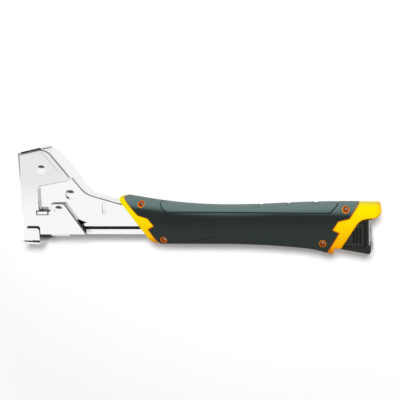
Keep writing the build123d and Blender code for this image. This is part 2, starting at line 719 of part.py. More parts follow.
# Pivot bush and pin
with BuildPart() as pivot_bush:
    with BuildSketch(across(0)):
        with Locations((PIVOT_X, PIVOT_Y)):
            Circle(BUSH_OD / 2)
            Circle(PIVOT_PIN / 2 + SLIP, mode=Mode.SUBTRACT)
    extrude(amount=CHANNEL_WIDTH / 2, both=True)
pivot_bush.part.label = "pivot_bush"
with BuildPart() as pivot_pin:
    with BuildSketch(across(0)):
        with Locations((PIVOT_X, PIVOT_Y)):
            Circle(PIVOT_PIN / 2)
    extrude(amount=ARM_WIDTH / 2, both=True)
pivot_pin.part.label = "pivot_pin"

# Pusher rod with its upset head
with BuildPart() as pusher_rod:
    with BuildSketch(along(ROD_TIP, ROD_Y)):
        Circle(ROD_HEAD / 2)
    extrude(amount=ROD_HEAD_LENGTH)
    with BuildSketch(along(ROD_TIP, ROD_Y)):
        Circle(ROD / 2)
    extrude(amount=END_REAR - ROD_TIP)
pusher_rod.part.label = "pusher_rod"

# Follower that rides on the core rail
RING_FRONT = ROD_TIP + ROD_HEAD_LENGTH + RUN_GAP
FOLLOWER_SEAT = CORE_TOP + RUN_GAP
with BuildPart() as follower:
    with BuildSketch(along(FOLLOWER_FRONT)):
        with Locations(((FOLLOWER_SEAT + FOLLOWER_TOP) / 2, 0)):
            Rectangle(FOLLOWER_TOP - FOLLOWER_SEAT, FOLLOWER_WIDTH)
        for side in (1, -1):
            skirt_low = CORE_LOW + RUN_GAP
            with Locations(((FOLLOWER_TOP + skirt_low) / 2, side * (FOLLOWER_WIDTH - FOLLOWER_SHEET) / 2)):
                Rectangle(FOLLOWER_TOP - skirt_low, FOLLOWER_SHEET)
    extrude(amount=FOLLOWER_LENGTH)
    with BuildSketch(along(RING_FRONT)):
        with Locations(((ROD_Y + FOLLOWER_SEAT) / 2, 0)):
            Rectangle(FOLLOWER_SEAT - ROD_Y, FOLLOWER_WEB)
        with Locations((ROD_Y, 0)):
            Circle(RING_OD / 2)
    extrude(amount=RING_LENGTH)
    with BuildSketch(along(FOLLOWER_FRONT, ROD_Y)):
        Circle(ROD / 2 + SLIP)
    extrude(amount=FOLLOWER_LENGTH, mode=Mode.SUBTRACT)
follower.part.label = "follower"

# Follower spring along the rod
SOCKET_END = CHANNEL_END + RUN_GAP
COIL_FRONT = RING_FRONT + RING_LENGTH + COIL_WIRE / 2 + SLIP
COIL_FREE = SOCKET_END - COIL_FRONT - COIL_WIRE / 2 - SLIP
coil_foot = along(COIL_FRONT, ROD_Y)
follower_spring = coil(coil_foot, COIL_MEAN, COIL_WIRE, COIL_TURNS, COIL_FREE, 2, "follower_spring")

# Handle outline, seen from the side
TOP_BEND_Y = TOP_COLLAR_Y + (TOP_BEND_X - COLLAR_TIP_X) * TOP_COLLAR_SLOPE
COLLAR_LOW_X = COLLAR_TIP_X + (BELLY_Y - TOP_COLLAR_Y) / COLLAR_SLOPE
BAR_START = COLLAR_TIP_X - BEYOND
BAR_STOP = LOBE_X + BEYOND


def run_on(line, x):
    # Point at x on the straight run that carries a line on past its end
    return (x, (line @ 1).Y + (line % 1).Y / (line % 1).X * (x - (line @ 1).X))


def top_height(x):
    # Height of the top of the handle between its waist and its rear
    with BuildLine(mode=Mode.PRIVATE):
        roof = Line((COLLAR_TIP_X, TOP_COLLAR_Y), (TOP_BEND_X, TOP_BEND_Y))
        waist = TangentArc(roof @ 1, TOP_WAIST, tangent=roof % 1)
        swell = TangentArc(waist @ 1, TOP_SWELL, tangent=waist % 1)
        back = TangentArc(swell @ 1, (TOP_REAR_X, TOP_REAR_Y), tangent=swell % 1)
    curve = swell if x < TOP_SWELL[0] else back
    low, high = 0.0, 1.0
    for _ in range(30):
        mid = (low + high) / 2
        if (curve @ mid).X < x:
            low = mid
        else:
            high = mid
    return (curve @ low).Y


def handle_bar(inset):
    # Long bar with the top and the belly of the handle, its long edges rounded
    with BuildPart() as bar:
        with BuildSketch(across(0)):
            with BuildLine():
                front_y = TOP_BEND_Y + TOP_COLLAR_SLOPE * (BAR_START - TOP_BEND_X)
                roof = Line((BAR_START, front_y), (TOP_BEND_X, TOP_BEND_Y))
                waist = TangentArc(roof @ 1, TOP_WAIST, tangent=roof % 1)
                swell = TangentArc(waist @ 1, TOP_SWELL, tangent=waist % 1)
                back = TangentArc(swell @ 1, (TOP_REAR_X, TOP_REAR_Y), tangent=swell % 1)
                tail = Line(back @ 1, run_on(back, BAR_STOP))
                belly = Line((BAR_START, BELLY_Y), (BELLY_BEND_X, BELLY_Y))
                sag = TangentArc(belly @ 1, HEEL_BEND, tangent=belly % 1)
                heel = TangentArc(sag @ 1, (HEEL_X, HEEL_Y), tangent=sag % 1)
                drop = Line(heel @ 1, run_on(heel, BAR_STOP))
                Line(tail @ 1, drop @ 1)
                Line(roof @ 0, belly @ 0)
            make_face()
            if inset:
                offset(amount=-inset, kind=Kind.INTERSECTION)
        extrude(amount=HALF - inset, both=True)
        long_edges = faces().filter_by(Axis.Z).edges().filter_by(Axis.Y, reverse=True)
        fillet(long_edges, GRIP_ROUND - inset)
    return bar.part


# Side shape of the handle, with the collar, the heel and the rear lobe
LOBE_RISE = TOP_COLLAR_Y + COLLAR_STEP
with BuildSketch(across(0)) as side_shape:
    with BuildLine():
        FilletPolyline(
            (HEEL_X, HEEL_Y - HEEL_DROP), (BELLY_BEND_X, BELLY_Y - HEEL_DROP),
            (COLLAR_LOW_X, BELLY_Y - HEEL_DROP), (COLLAR_TIP_X, TOP_COLLAR_Y), (TOP_BEND_X, TOP_COLLAR_Y),
            (TOP_BEND_X + BEYOND / 2, LOBE_RISE), (LOBE_END, LOBE_TOP), (LOBE_END, LOBE_CHIN_Y),
            LOBE_LOW, REAR_CORNER, REAR_FOOT, (HEEL_NOTCH_X, HEEL_NOTCH_Y), (HEEL_REAR, HEEL_Y - HEEL_DROP),
            radius=[
                0, 0, COLLAR_LOW_ROUND, COLLAR_TIP_ROUND, 0, 0, LOBE_ROUND, LOBE_CHIN_ROUND, LOBE_LOW_ROUND,
                REAR_ROUND, REAR_FOOT_ROUND, HEEL_ROUND, HEEL_ROUND],
            close=True)
    make_face()
with BuildPart() as handle_side:
    add(side_shape.sketch)
    extrude(amount=HANDLE_WIDTH, both=True)
with BuildPart() as shell_side:
    add(side_shape.sketch)
    extrude(amount=HALF, both=True)
    rear_edges = [e for e in faces().filter_by(Axis.Z).edges()
                  if e.center().X > LOBE_X - REF_X and e.center().Y > LOBE_LOW[1] - REF_Y]
    fillet(rear_edges, LOBE_EDGE)

# Zone of the handle that the rubber skin covers
with BuildPart() as skin_zone:
    with BuildSketch(across(0)):
        with BuildLine():
            Polyline(*SKIN_FRONT, *SKIN_REAR, close=True)
        make_face()
        with Locations(*SCREWS):
            Circle(BOSS / 2, mode=Mode.SUBTRACT)
    extrude(amount=HANDLE_WIDTH, both=True)

bar = handle_bar(0)
shell_bar = handle_bar(SKIN_STEP)
collar_bar = handle_bar(COLLAR_STEP)
inner_bar = handle_bar(GRIP_SKIN)
groove_bar = handle_bar(GROOVE_DEPTH)

# Whole rubber skin with its border, arc and notches, both sides together
with BuildPart() as skin:
    add(bar)
    add(handle_side.part, mode=Mode.INTERSECT)
    add(skin_zone.part, mode=Mode.INTERSECT)
    add(inner_bar, mode=Mode.SUBTRACT)
# Notches across the top
with BuildPart() as notches:
    with BuildSketch(across(0)):
        for x in NOTCHES:
            with BuildLine():
                low, high = top_height(x) - NOTCH_DEPTH, top_height(x) + NOTCH_DEPTH
                Polyline((x - NOTCH_WIDTH, high), (x, low), (x + NOTCH_WIDTH, high), close=True)
            make_face()
    extrude(amount=HANDLE_WIDTH, both=True)
with BuildPart() as grooves:
    with BuildSketch(across(0)):
        with BuildLine() as border:
            FilletPolyline(*PAD_BORDER, radius=PAD_ROUND)
        trace(line_width=GROOVE_WIDTH)
        with BuildLine() as arc_line:
            ThreePointArc(*ARC_LINE)
        trace(line_width=GROOVE_WIDTH)
    extrude(amount=HANDLE_WIDTH, both=True)
    add(groove_bar, mode=Mode.SUBTRACT)
with BuildPart() as grip_right:
    add(skin.part)
    add(grooves.part, mode=Mode.SUBTRACT)
    add(notches.part, mode=Mode.SUBTRACT)
    split(bisect_by=TOOL, keep=Keep.BOTTOM)
grip_right.part.label = "grip_right"
with BuildPart() as grip_left:
    mirror(grip_right.part, about=TOOL)
grip_left.part.label = "grip_left"

# Whole handle core with the bay for the arm, the magazine and the cap
with BuildPart() as collar_zone:
    with BuildSketch(across(0)):
        with BuildLine():
            Polyline(*SKIN_FRONT, (BAR_START, -BEYOND), (BAR_START, TOP_COLLAR_Y + BEYOND), close=True)
        make_face()
    extrude(amount=HANDLE_WIDTH, both=True)
    add(collar_bar, mode=Mode.SUBTRACT)
with BuildPart() as shells:
    add(shell_bar)
    add(shell_side.part, mode=Mode.INTERSECT)
    add(skin.part, mode=Mode.SUBTRACT)
    add(collar_zone.part, mode=Mode.SUBTRACT)
    with BuildSketch(across(0)):
        roof_y = ARM_TOP + ARM_FIT
        with BuildLine():
            FilletPolyline(
                (BAR_START, CHANNEL_LOW - CHANNEL_FIT), (PIVOT_X, CHANNEL_LOW - CHANNEL_FIT),
                (CAP_BAY_FRONT + CAP_FIT, CHANNEL_LOW - 3 * CHANNEL_FIT), (CAP_BAY_FRONT + CAP_FIT, roof_y),
                (ARM_BEND_X, roof_y), (BAR_START, roof_y + ARM_SLOPE * (BAR_START - ARM_BEND_X)),
                radius=[0, 0, 0, 0, ARM_SHOULDER_ROUND, 0], close=True)
        make_face()
    extrude(amount=ARM_WIDTH / 2 + ARM_FIT, both=True, mode=Mode.SUBTRACT)
    with BuildSketch(across(0)):
        with BuildLine():
            Polyline(
                (CAP_BAY_FRONT, -BEYOND), (LOBE_X + BEYOND, -BEYOND), (LOBE_X + BEYOND, CAP_BAY_TOP),
                (CAP_BAY_FRONT, CAP_BAY_TOP), close=True)
        make_face()
    extrude(amount=CAP_BAY_WIDTH / 2, both=True, mode=Mode.SUBTRACT)
    with BuildSketch(across(SCREW_SEAT)):
        with Locations(*SCREWS):
            Circle(RECESS / 2)
    extrude(amount=HANDLE_WIDTH, mode=Mode.SUBTRACT)
    with BuildSketch(across(SCREW_END)):
        with Locations(*SCREWS):
            Circle(SCREW_SHANK / 2 + SLIP)
    extrude(amount=SCREW_SEAT - SCREW_END, mode=Mode.SUBTRACT)
with BuildPart() as handle_shell_left:
    add(shells.part)
    split(bisect_by=TOOL, keep=Keep.TOP)
handle_shell_left.part.label = "handle_shell_left"
with BuildPart() as handle_shell_right:
    add(shells.part)
    split(bisect_by=TOOL, keep=Keep.BOTTOM)
handle_shell_right.part.label = "handle_shell_right"

# Four handle screws with cross recesses
with BuildPart() as handle_screws:
    with BuildSketch(across(SCREW_SEAT)):
        with Locations(*SCREWS):
            Circle(SCREW_HEAD / 2)
    extrude(amount=SCREW_HEAD_HEIGHT)
    with BuildSketch(across(SCREW_END + SLIP)):
        with Locations(*SCREWS):
            Circle(SCREW_SHANK / 2)
    extrude(amount=SCREW_SEAT - SCREW_END)
    with BuildSketch(across(SCREW_SEAT + SCREW_HEAD_HEIGHT)):
        with Locations(*SCREWS):
            Rectangle(DRIVE_SPAN, DRIVE_SLOT)
            Rectangle(DRIVE_SLOT, DRIVE_SPAN)
    extrude(amount=-DRIVE_DEPTH, mode=Mode.SUBTRACT)
handle_screws.part.label = "handle_screws"

# End cap with a pocket for a latch lever on each side
with BuildPart() as end_cap:
    with BuildSketch(across(0)):
        with BuildLine():
            FilletPolyline(
                (CAP_FRONT - CAP_CHIN, CAP_CHIN_LOW), (CAP_REAR - CAP_HEEL[0], CAP_LOW_REAR),
                (CAP_REAR, CAP_LOW_REAR + CAP_HEEL[1]), (CAP_REAR, CAP_SEAT_LOW), (CAP_SEAT, CAP_SEAT_LOW),
                (CAP_SEAT, CAP_TOP), (CAP_FRONT, CAP_TOP), (CAP_FRONT, POCKET_LOW),
                (CAP_FRONT - CAP_CHIN, POCKET_LOW), radius=CAP_ROUNDS, close=True)
        make_face()
    extrude(amount=CAP_WIDTH / 2, both=True)
    for side in (1, -1):
        with BuildSketch(across(side * CAP_WEB / 2)):
            with BuildLine():
                FilletPolyline(
                    (CAP_FRONT - POCKET_OPEN, POCKET_LOW), (POCKET_REAR, POCKET_LOW),
                    (POCKET_REAR, POCKET_TOP), (CAP_FRONT - POCKET_OPEN, POCKET_TOP),
                    radius=[0, POCKET_ROUND, POCKET_ROUND, 0], close=True)
            make_face()
        extrude(amount=side * CAP_WIDTH, mode=Mode.SUBTRACT)
    # Socket over the end of the magazine, the bore for the rod and the pin holes
    with BuildSketch(along(CAP_FRONT - POCKET_OPEN)):
        with Locations(((CHANNEL_LOW + CORE_TOP) / 2, 0)):
            Rectangle(CORE_TOP - CHANNEL_LOW + 2 * RUN_GAP, CHANNEL_WIDTH + 2 * RUN_GAP)
    extrude(amount=SOCKET_END - CAP_FRONT + POCKET_OPEN, mode=Mode.SUBTRACT)
    with BuildSketch(along(CAP_FRONT, ROD_Y)):
        Circle(ROD / 2 + SLIP)
    extrude(amount=CAP_REAR - CAP_FRONT, mode=Mode.SUBTRACT)
    for side in (1, -1):
        with BuildSketch(upright(LATCH_PIN_X, CAP_LOW_FRONT, side * LATCH_PIN_Z)):
            Circle(LATCH_PIN / 2 + SLIP)
        extrude(amount=CAP_TOP - CAP_LOW_FRONT, mode=Mode.SUBTRACT)
end_cap.part.label = "end_cap"

# Latch pins, one on each side of the cap
with BuildPart() as latch_pins:
    for side in (1, -1):
        with BuildSketch(upright(LATCH_PIN_X, CAP_LOW_FRONT, side * LATCH_PIN_Z)):
            Circle(LATCH_PIN / 2)
        extrude(amount=CAP_TOP - CAP_LOW_FRONT)
latch_pins.part.label = "latch_pins"


def latch_lever(side, label):
    low, top = POCKET_LOW + LATCH_GAP, POCKET_TOP - LATCH_GAP
    with BuildPart() as lever:
        with BuildSketch(upright(0, low)):
            with BuildLine():
                FilletPolyline(
                    (CAP_FRONT, -side * LATCH_NOSE_OUTER), (LATCH_PIN_X, -side * CAP_WIDTH / 2),
                    (LATCH_REAR, -side * CAP_WIDTH / 2), (LATCH_REAR, -side * LATCH_INNER),
                    (CAP_FRONT, -side * LATCH_INNER), radius=[0, 0, LATCH_ROUND, 0, 0], close=True)
            make_face()
            with Locations((LATCH_PIN_X, -side * LATCH_PIN_Z)):
                Circle(LATCH_PIN / 2 + LATCH_EYE)
                Circle(LATCH_PIN / 2 + SLIP, mode=Mode.SUBTRACT)
        extrude(amount=top - low)
        # Arm with its nub, which reaches into the slot of the channel
        root, nub_rear = CAP_FRONT + LATCH_ARM_ROOT, LATCH_ARM_FRONT + NUB_LENGTH
        nub_inner = LATCH_ARM_INNER - NUB_DEPTH
        with BuildSketch(upright(0, LATCH_Y - NUB_HEIGHT / 2)):
            with BuildLine():
                Polyline(
                    (LATCH_ARM_FRONT, -side * LATCH_ARM_OUTER), (root, -side * LATCH_ARM_OUTER),
                    (root, -side * LATCH_ARM_INNER), (nub_rear, -side * LATCH_ARM_INNER),
                    (nub_rear, -side * nub_inner), (LATCH_ARM_FRONT, -side * nub_inner), close=True)
            make_face()
        extrude(amount=NUB_HEIGHT)
        with BuildSketch(upright(0, RIB_LOW)):
            for n in range(RIBS):
                with Locations((LATCH_PIN_X + n * RIB_PITCH, -side * CAP_WIDTH / 2)):
                    Rectangle(RIB_WIDTH, 2 * RIB_DEPTH)
        extrude(amount=RIB_TOP - RIB_LOW, mode=Mode.SUBTRACT)
    lever.part.label = label
    return lever.part


latch_lever_left = latch_lever(1, "latch_lever_left")
latch_lever_right = latch_lever(-1, "latch_lever_right")

# Latch springs between the cap and the rear of each lever
LATCH_SPRING_FREE = LATCH_INNER - CAP_WEB / 2 - LATCH_SPRING_WIRE - 2 * SLIP
LATCH_SPRING_Z = CAP_WEB / 2 + LATCH_SPRING_WIRE / 2 + SLIP
LATCH_SPRING_Y = (POCKET_LOW + POCKET_TOP) / 2
left_spot = TOOL.from_local_coords(Vector(LATCH_SPRING_X, LATCH_SPRING_Y, LATCH_SPRING_Z))
right_spot = TOOL.from_local_coords(Vector(LATCH_SPRING_X, LATCH_SPRING_Y, -LATCH_SPRING_Z))
latch_spring_left = coil(
    Plane(origin=left_spot, x_dir=(1, 0, 0), z_dir=(0, 0, 1)),
    LATCH_SPRING_MEAN, LATCH_SPRING_WIRE, LATCH_SPRING_TURNS, LATCH_SPRING_FREE, 4, "latch_spring_left")
latch_spring_right = coil(
    Plane(origin=right_spot, x_dir=(1, 0, 0), z_dir=(0, 0, -1)),
    LATCH_SPRING_MEAN, LATCH_SPRING_WIRE, LATCH_SPRING_TURNS, LATCH_SPRING_FREE, 4, "latch_spring_right")

# End plate behind the cap, folded double, with the lower end of its outer leaf bent out as a pull lip
with BuildPart() as end_plate:
    with BuildSketch(across(0)):
        with BuildLine():
            inner, leaf = CAP_SEAT + END_SHEET, END_REAR - END_SHEET
            Polyline(
                (CAP_SEAT, END_TOP), (CAP_SEAT, CAP_SEAT_LOW + SLIP), (inner, CAP_SEAT_LOW + SLIP),
                (inner, END_TOP - END_SHEET), (leaf, END_TOP - END_SHEET), (leaf, END_BEND),
                (leaf + LIP_OUT, END_BEND - 2 * LIP_OUT), (leaf + LIP_OUT, END_LOW),
                (END_REAR + LIP_OUT, END_LOW), (END_REAR + LIP_OUT, END_BEND - 2 * LIP_OUT + END_OVERLAP),
                (END_REAR, END_BEND + END_OVERLAP), (END_REAR, END_TOP), close=True)
        make_face()
    extrude(amount=END_WIDTH / 2, both=True)
    with BuildSketch(along(CAP_SEAT, ROD_Y)):
        Circle(ROD / 2 + SLIP)
    extrude(amount=END_REAR - CAP_SEAT, mode=Mode.SUBTRACT)
end_plate.part.label = "end_plate"

# One file for each piece
os.makedirs("parts", exist_ok=True)
for piece in [
    head_frame.part, front_plate.part, hammer_rivet, arm_rivet, stop_rivet, arm_spacer.part,
    hammer_block.part, driver_blade.part, handle_shell_left.part, handle_shell_right.part, grip_left.part,
    grip_right.part, handle_screws.part, pivot_pin.part, return_spring, spring_seat.part,
    magazine_channel.part, core_rail.part, nose_bracket.part, nose_foot.part, sole_plate.part,
    pivot_bracket.part, pivot_bush.part, pusher_rod.part, follower.part, follower_spring, end_cap.part,
    end_plate.part, latch_pins.part, latch_lever_left, latch_lever_right, latch_spring_left,
    latch_spring_right,
]:
    export_step(piece, "parts/" + piece.label + ".step")
    box = piece.bounding_box()
    corners = [round(c, 1) for c in (*box.min, *box.max)]
    print(piece.label, len(piece.solids()), round(piece.volume, 1), corners)
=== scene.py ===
import math

import bmesh
import bpy
from mathutils import Matrix, Vector


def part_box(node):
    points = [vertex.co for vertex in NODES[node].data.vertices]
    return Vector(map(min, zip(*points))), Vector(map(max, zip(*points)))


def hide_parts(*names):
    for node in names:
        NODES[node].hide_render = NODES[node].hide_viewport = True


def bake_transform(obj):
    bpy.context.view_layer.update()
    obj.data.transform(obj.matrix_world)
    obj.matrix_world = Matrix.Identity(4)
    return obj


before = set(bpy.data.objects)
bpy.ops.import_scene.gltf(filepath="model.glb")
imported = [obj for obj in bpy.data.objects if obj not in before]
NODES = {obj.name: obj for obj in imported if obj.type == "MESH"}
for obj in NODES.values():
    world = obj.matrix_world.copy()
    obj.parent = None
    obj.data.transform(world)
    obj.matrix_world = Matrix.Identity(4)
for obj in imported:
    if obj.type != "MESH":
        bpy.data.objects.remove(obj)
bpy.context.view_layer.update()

scene = bpy.context.scene

# Place of the staple slot in the frame, in millimetres. The x, y and z of the tool that the materials and the camera
# use are counted from it; other lengths are in metres
REF_X, REF_Y, MID_Z = 175.1, 44.1, 17.0

# Colours of the metals
PLATING = (0.93, 0.935, 0.94)
# Painted shade on the outer sides of the head frame towards the top
PLATING_SHADED_TOP = (0.80, 0.815, 0.80)
RIVET_STEEL = (0.92, 0.925, 0.93)
PLAIN_STEEL = (0.60, 0.60, 0.61)
OILED_STEEL = (0.05, 0.05, 0.052)
SPRING_WIRE = (0.42, 0.42, 0.43)
FOLDED_STEEL = (0.46, 0.465, 0.46)
GUIDE_STEEL = (0.75, 0.75, 0.76)
# Painted shade on the front of the guide bracket
GUIDE_SHADE = (0.03, 0.03, 0.032)
BRASS = (0.70, 0.53, 0.26)
# Near black: on the side of the front plate's flange, and as painted shade on the tail of the nose foot and along its
# crease at the sole
NEAR_BLACK = (0.05, 0.05, 0.055)
# Painted dark reflection on the sides of the front plate's front edge
EDGE_DARK_REFLECTION = (0.36, 0.36, 0.37)
# Painted shade along the outline of the dimple
DIMPLE_SHADE_LINE = (0.22, 0.22, 0.23)
# Painted shade along the outline of the tab and at its front end
TAB_SHADE_LINE = (0.05, 0.05, 0.052)
LANCE_SHADE = (0.33, 0.33, 0.335)
LIP_SHADE = (0.30, 0.30, 0.31)
# Painted highlight, shade and orange shade of the recess on the screw heads
SCREW_HIGHLIGHT, SCREW_SHADE, SCREW_RIM_ORANGE_SHADE = (0.80, 0.79, 0.78), (0.05, 0.03, 0.025), (0.62, 0.13, 0.018)

# Colours of the yellow plastic, the first list by height from the heel to the collar, more orange low down as painted
# shade
YELLOW_SHADED_BY_HEIGHT = [
    (0.0, (0.97, 0.19, 0.0)), (0.13, (0.97, 0.45, 0.0)), (0.5, (0.975, 0.62, 0.0)),
    (0.72, (0.975, 0.70, 0.0)), (0.95, (0.98, 0.78, 0.0))]
# Painted shade where the shells turn away, at the rear, along the rubber and in the screw recesses
YELLOW_TURNED_SHADE, YELLOW_REAR_SHADE, YELLOW_JOINT_SHADE = (0.95, 0.36, 0.0), (0.95, 0.50, 0.0), (0.74, 0.12, 0.0)
RECESS_SHADE, HEEL_RECESS_SHADE = (0.95, 0.17, 0.006), (0.52, 0.085, 0.006)

# Colours of the black plastic and the rubber
BLACK, BLACK_LOW = (0.020, 0.021, 0.018), (0.015, 0.016, 0.013)
# Latch tones, and the painted shade of its finger grooves
LATCH, LATCH_LOW, LATCH_GROOVE_SHADE = (0.026, 0.029, 0.026), (0.021, 0.024, 0.021), (0.002, 0.002, 0.002)
RUBBER, RUBBER_LOW = (0.0150, 0.0205, 0.0185), (0.0120, 0.0165, 0.0150)
# Lighter low on the flank; the crest colour is a painted sheen
RUBBER_FLANK, RUBBER_CREST_SHEEN = (0.0215, 0.0295, 0.0265), (0.085, 0.130, 0.125)
# Painted sheen on faces turned up, painted shade underneath and in the pad's border groove
RUBBER_LIT_UP, RUBBER_UNDER_SHADE, RUBBER_GROOVE_SHADE = (0.130, 0.195, 0.190), (0.005, 0.006, 0.005), (0.004, 0.005, 0.005)
# Tones of the pad, lighter with its frosted stipple and with painted sheen
FROST_SHEEN_LOW, FROST_SHEEN_HIGH = (0.062, 0.100, 0.095), (0.085, 0.130, 0.125)
# Painted sheen of the pad on its crest and on faces turned up
FROST_CREST_SHEEN, FROST_LIT_UP = (0.085, 0.132, 0.126), (0.140, 0.210, 0.203)

# Roughness of the plating and the radius that its edges are softened by
PLATING_ROUGH, PLATING_EDGE, FRAME_EDGE = 0.11, 0.0004, 0.00025
# Depth of the grain of the plastics, the reflection level of the yellow and of the black pieces, and the skin that the
# cap and the latches share
PLASTIC_DEPTH, YELLOW_LEVEL, BLACK_LEVEL = 0.0001, 0.05, 0.18
BLACK_SKIN = {"rough": 0.46, "grain_scale": 1200.0, "grain": 0.12, "level": BLACK_LEVEL}
# How far the normal of a face leans sideways, from where a mask begins to where it is full
SIDE_FACE, CUT_WALL = (0.4, 0.6), (0.5, 0.3)


# Place in the frame, in metres, of a point of the tool in millimetres
def at(x, y, z=0.0):
    return Vector(((x - REF_X) / 1000, (y - REF_Y) / 1000, (z + MID_Z) / 1000))


# A material and the nodes that it is made with
class Paint:
    def __init__(self, name):
        self.mat = bpy.data.materials.new(name)
        self.mat.use_nodes = True
        self.nodes = self.mat.node_tree.nodes
        self.links = self.mat.node_tree.links
        self.bsdf = self.nodes["Principled BSDF"]
        self.tex = self.nodes.new("ShaderNodeTexCoord")

    def to(self, socket, value):
        if isinstance(value, (int, float)):
            self.bsdf.inputs[socket].default_value = value
        else:
            self.links.new(value, self.bsdf.inputs[socket])

    def base(self):
        return self.bsdf.inputs["Base Color"].links[0].from_socket

    def put_on(self, mesh):
        mesh.materials.clear()
        mesh.materials.append(self.mat)

    def coords(self, scale=(1, 1, 1)):
        mapping = self.nodes.new("ShaderNodeMapping")
        mapping.inputs["Scale"].default_value = scale
        self.links.new(self.tex.outputs["Object"], mapping.inputs["Vector"])
        return mapping.outputs["Vector"]

    def part_of(self, output, index):
        split = self.nodes.new("ShaderNodeSeparateXYZ")
        self.links.new(self.tex.outputs[output], split.inputs["Vector"])
        return split.outputs[index]

    def axis(self, index):
        return self.part_of("Object", index)

    def facing(self, index):
        return self.part_of("Normal", index)

    def noise(self, vector, scale, detail=3.0, rough=0.5):
        n = self.nodes.new("ShaderNodeTexNoise")
        n.inputs["Scale"].default_value = scale
        n.inputs["Detail"].default_value = detail
        n.inputs["Roughness"].default_value = rough
        self.links.new(vector, n.inputs["Vector"])
        return n.outputs["Fac"]

    def math(self, kind, *values):
        m = self.nodes.new("ShaderNodeMath")
        m.operation = kind
        for i, v in enumerate(values):
            if isinstance(v, (int, float)):
                m.inputs[i].default_value = v
            else:
                self.links.new(v, m.inputs[i])
        return m.outputs[0]

    # One operation over any number of values, such as the product of masks or the least of distances
    def fold(self, kind, first, *others):
        for other in others:
            first = self.math(kind, first, other)
        return first

    def hypot(self, a, b):
        return self.math("SQRT", self.math("ADD", self.math("MULTIPLY", a, a), self.math("MULTIPLY", b, b)))

    # Distance from a place along one axis, with its sign or without
    def off(self, index, place):
        return self.math("SUBTRACT", self.axis(index), place[index])

    def far(self, index, place):
        return self.math("ABSOLUTE", self.off(index, place))

    def off_middle(self):
        return self.far(2, at(0, 0))

    def off_line(self, place):
        return self.hypot(self.off(0, place), self.off(1, place))

    def off_box(self, place, half):
        return self.math("MAXIMUM", *[
            self.math("SUBTRACT", self.far(i, at(*place)), half[i] / 1000) for i in (0, 1)])

    def off_path(self, points):
        x, y, squares = self.axis(0), self.axis(1), []
        for start, end in zip(points, points[1:]):
            a, b = at(*start), at(*end)
            dx, dy = b.x - a.x, b.y - a.y
            run = dx * dx + dy * dy
            px, py = self.math("SUBTRACT", x, a.x), self.math("SUBTRACT", y, a.y)
            part = self.math("MULTIPLY_ADD", px, dx / run, self.math("MULTIPLY", py, dy / run))
            part = self.math("MINIMUM", self.math("MAXIMUM", part, 0.0), 1.0)
            qx, qy = self.math("MULTIPLY_ADD", part, -dx, px), self.math("MULTIPLY_ADD", part, -dy, py)
            squares.append(self.math("MULTIPLY_ADD", qx, qx, self.math("MULTIPLY", qy, qy)))
        return self.math("SQRT", self.fold("MINIMUM", *squares))

    # Smooth step of a value from one limit to another
    def span(self, value, low, high, to_low=0.0, to_high=1.0):
        m = self.nodes.new("ShaderNodeMapRange")
        m.interpolation_type = "SMOOTHSTEP"
        for name, v in zip(("From Min", "From Max", "To Min", "To Max"), (low, high, to_low, to_high)):
            m.inputs[name].default_value = v
        self.links.new(value, m.inputs["Value"])
        return m.outputs["Result"]

    # The same from one x or y of the tool to another
    def over_x(self, low, high, to_low=0.0, to_high=1.0):
        return self.span(self.axis(0), at(low, 0).x, at(high, 0).x, to_low, to_high)

    def over_y(self, low, high):
        return self.span(self.axis(1), at(0, low).y, at(0, high).y)

    # The same by how far a face looks sideways
    def sideways(self, low, high):
        return self.span(self.math("ABSOLUTE", self.facing(2)), low, high)

    def ramp(self, value, stops):
        r = self.nodes.new("ShaderNodeValToRGB")
        set_stops(r, stops)
        self.links.new(value, r.inputs["Fac"])
        return r.outputs["Color"]

    def mix(self, fac, a, b):
        m = self.nodes.new("ShaderNodeMix")
        m.data_type = "RGBA"
        self.links.new(fac, m.inputs["Factor"])
        for name, v in (("A", a), ("B", b)):
            socket = [s for s in m.inputs if s.name == name and s.type == "RGBA"][0]
            if isinstance(v, tuple):
                socket.default_value = (*v, 1.0)
            else:
                self.links.new(v, socket)
        return [s for s in m.outputs if s.type == "RGBA"][0]

    def bump(self, height, strength, distance, edge=0.0):
        b = self.nodes.new("ShaderNodeBump")
        b.inputs["Strength"].default_value = strength
        b.inputs["Distance"].default_value = distance
        self.links.new(height, b.inputs["Height"])
        # Edges are softened in the shading only
        if edge:
            soft = self.nodes.new("ShaderNodeBevel")
            soft.samples = 4
            soft.inputs["Radius"].default_value = edge
            self.links.new(soft.outputs["Normal"], b.inputs["Normal"])
        self.to("Normal", b.outputs["Normal"])


# Stops of a colour ramp, each a place with a colour or a grey
def set_stops(ramp, stops):
    elements = ramp.color_ramp.elements
    while len(elements) < len(stops):
        elements.new(0.5)
    for element, (place, colour) in zip(elements, stops):
        element.position = place
        element.color = (colour, colour, colour, 1.0) if isinstance(colour, (int, float)) else (*colour, 1.0)


# Metal with a fine grain that shifts its roughness a little, and its colour where it has one of its own
def metal(name, rough, tone=None, streak=(40, 40, 40), edge=0.0):
    grain_scale, dim, lit, spread, grain, depth = 9.0, 0.97, 1.02, 0.04, 0.02, 0.0002
    p = Paint(name)
    p.to("Metallic", 1.0)
    fine = p.noise(p.coords(streak), grain_scale, detail=5.0, rough=0.6)
    if tone:
        low, high = [c * dim for c in tone], [min(1.0, c * lit) for c in tone]
        p.to("Base Color", p.ramp(fine, [(0.3, low), (0.7, high)]))
    p.to("Roughness", p.ramp(fine, [(0.25, rough - spread), (0.75, rough + spread)]))
    p.bump(fine, grain, depth, edge)
    return p


# Plating of the sheet pieces
def plating(name, rough=PLATING_ROUGH, edge=PLATING_EDGE):
    return metal(name, rough, PLATING, edge=edge)


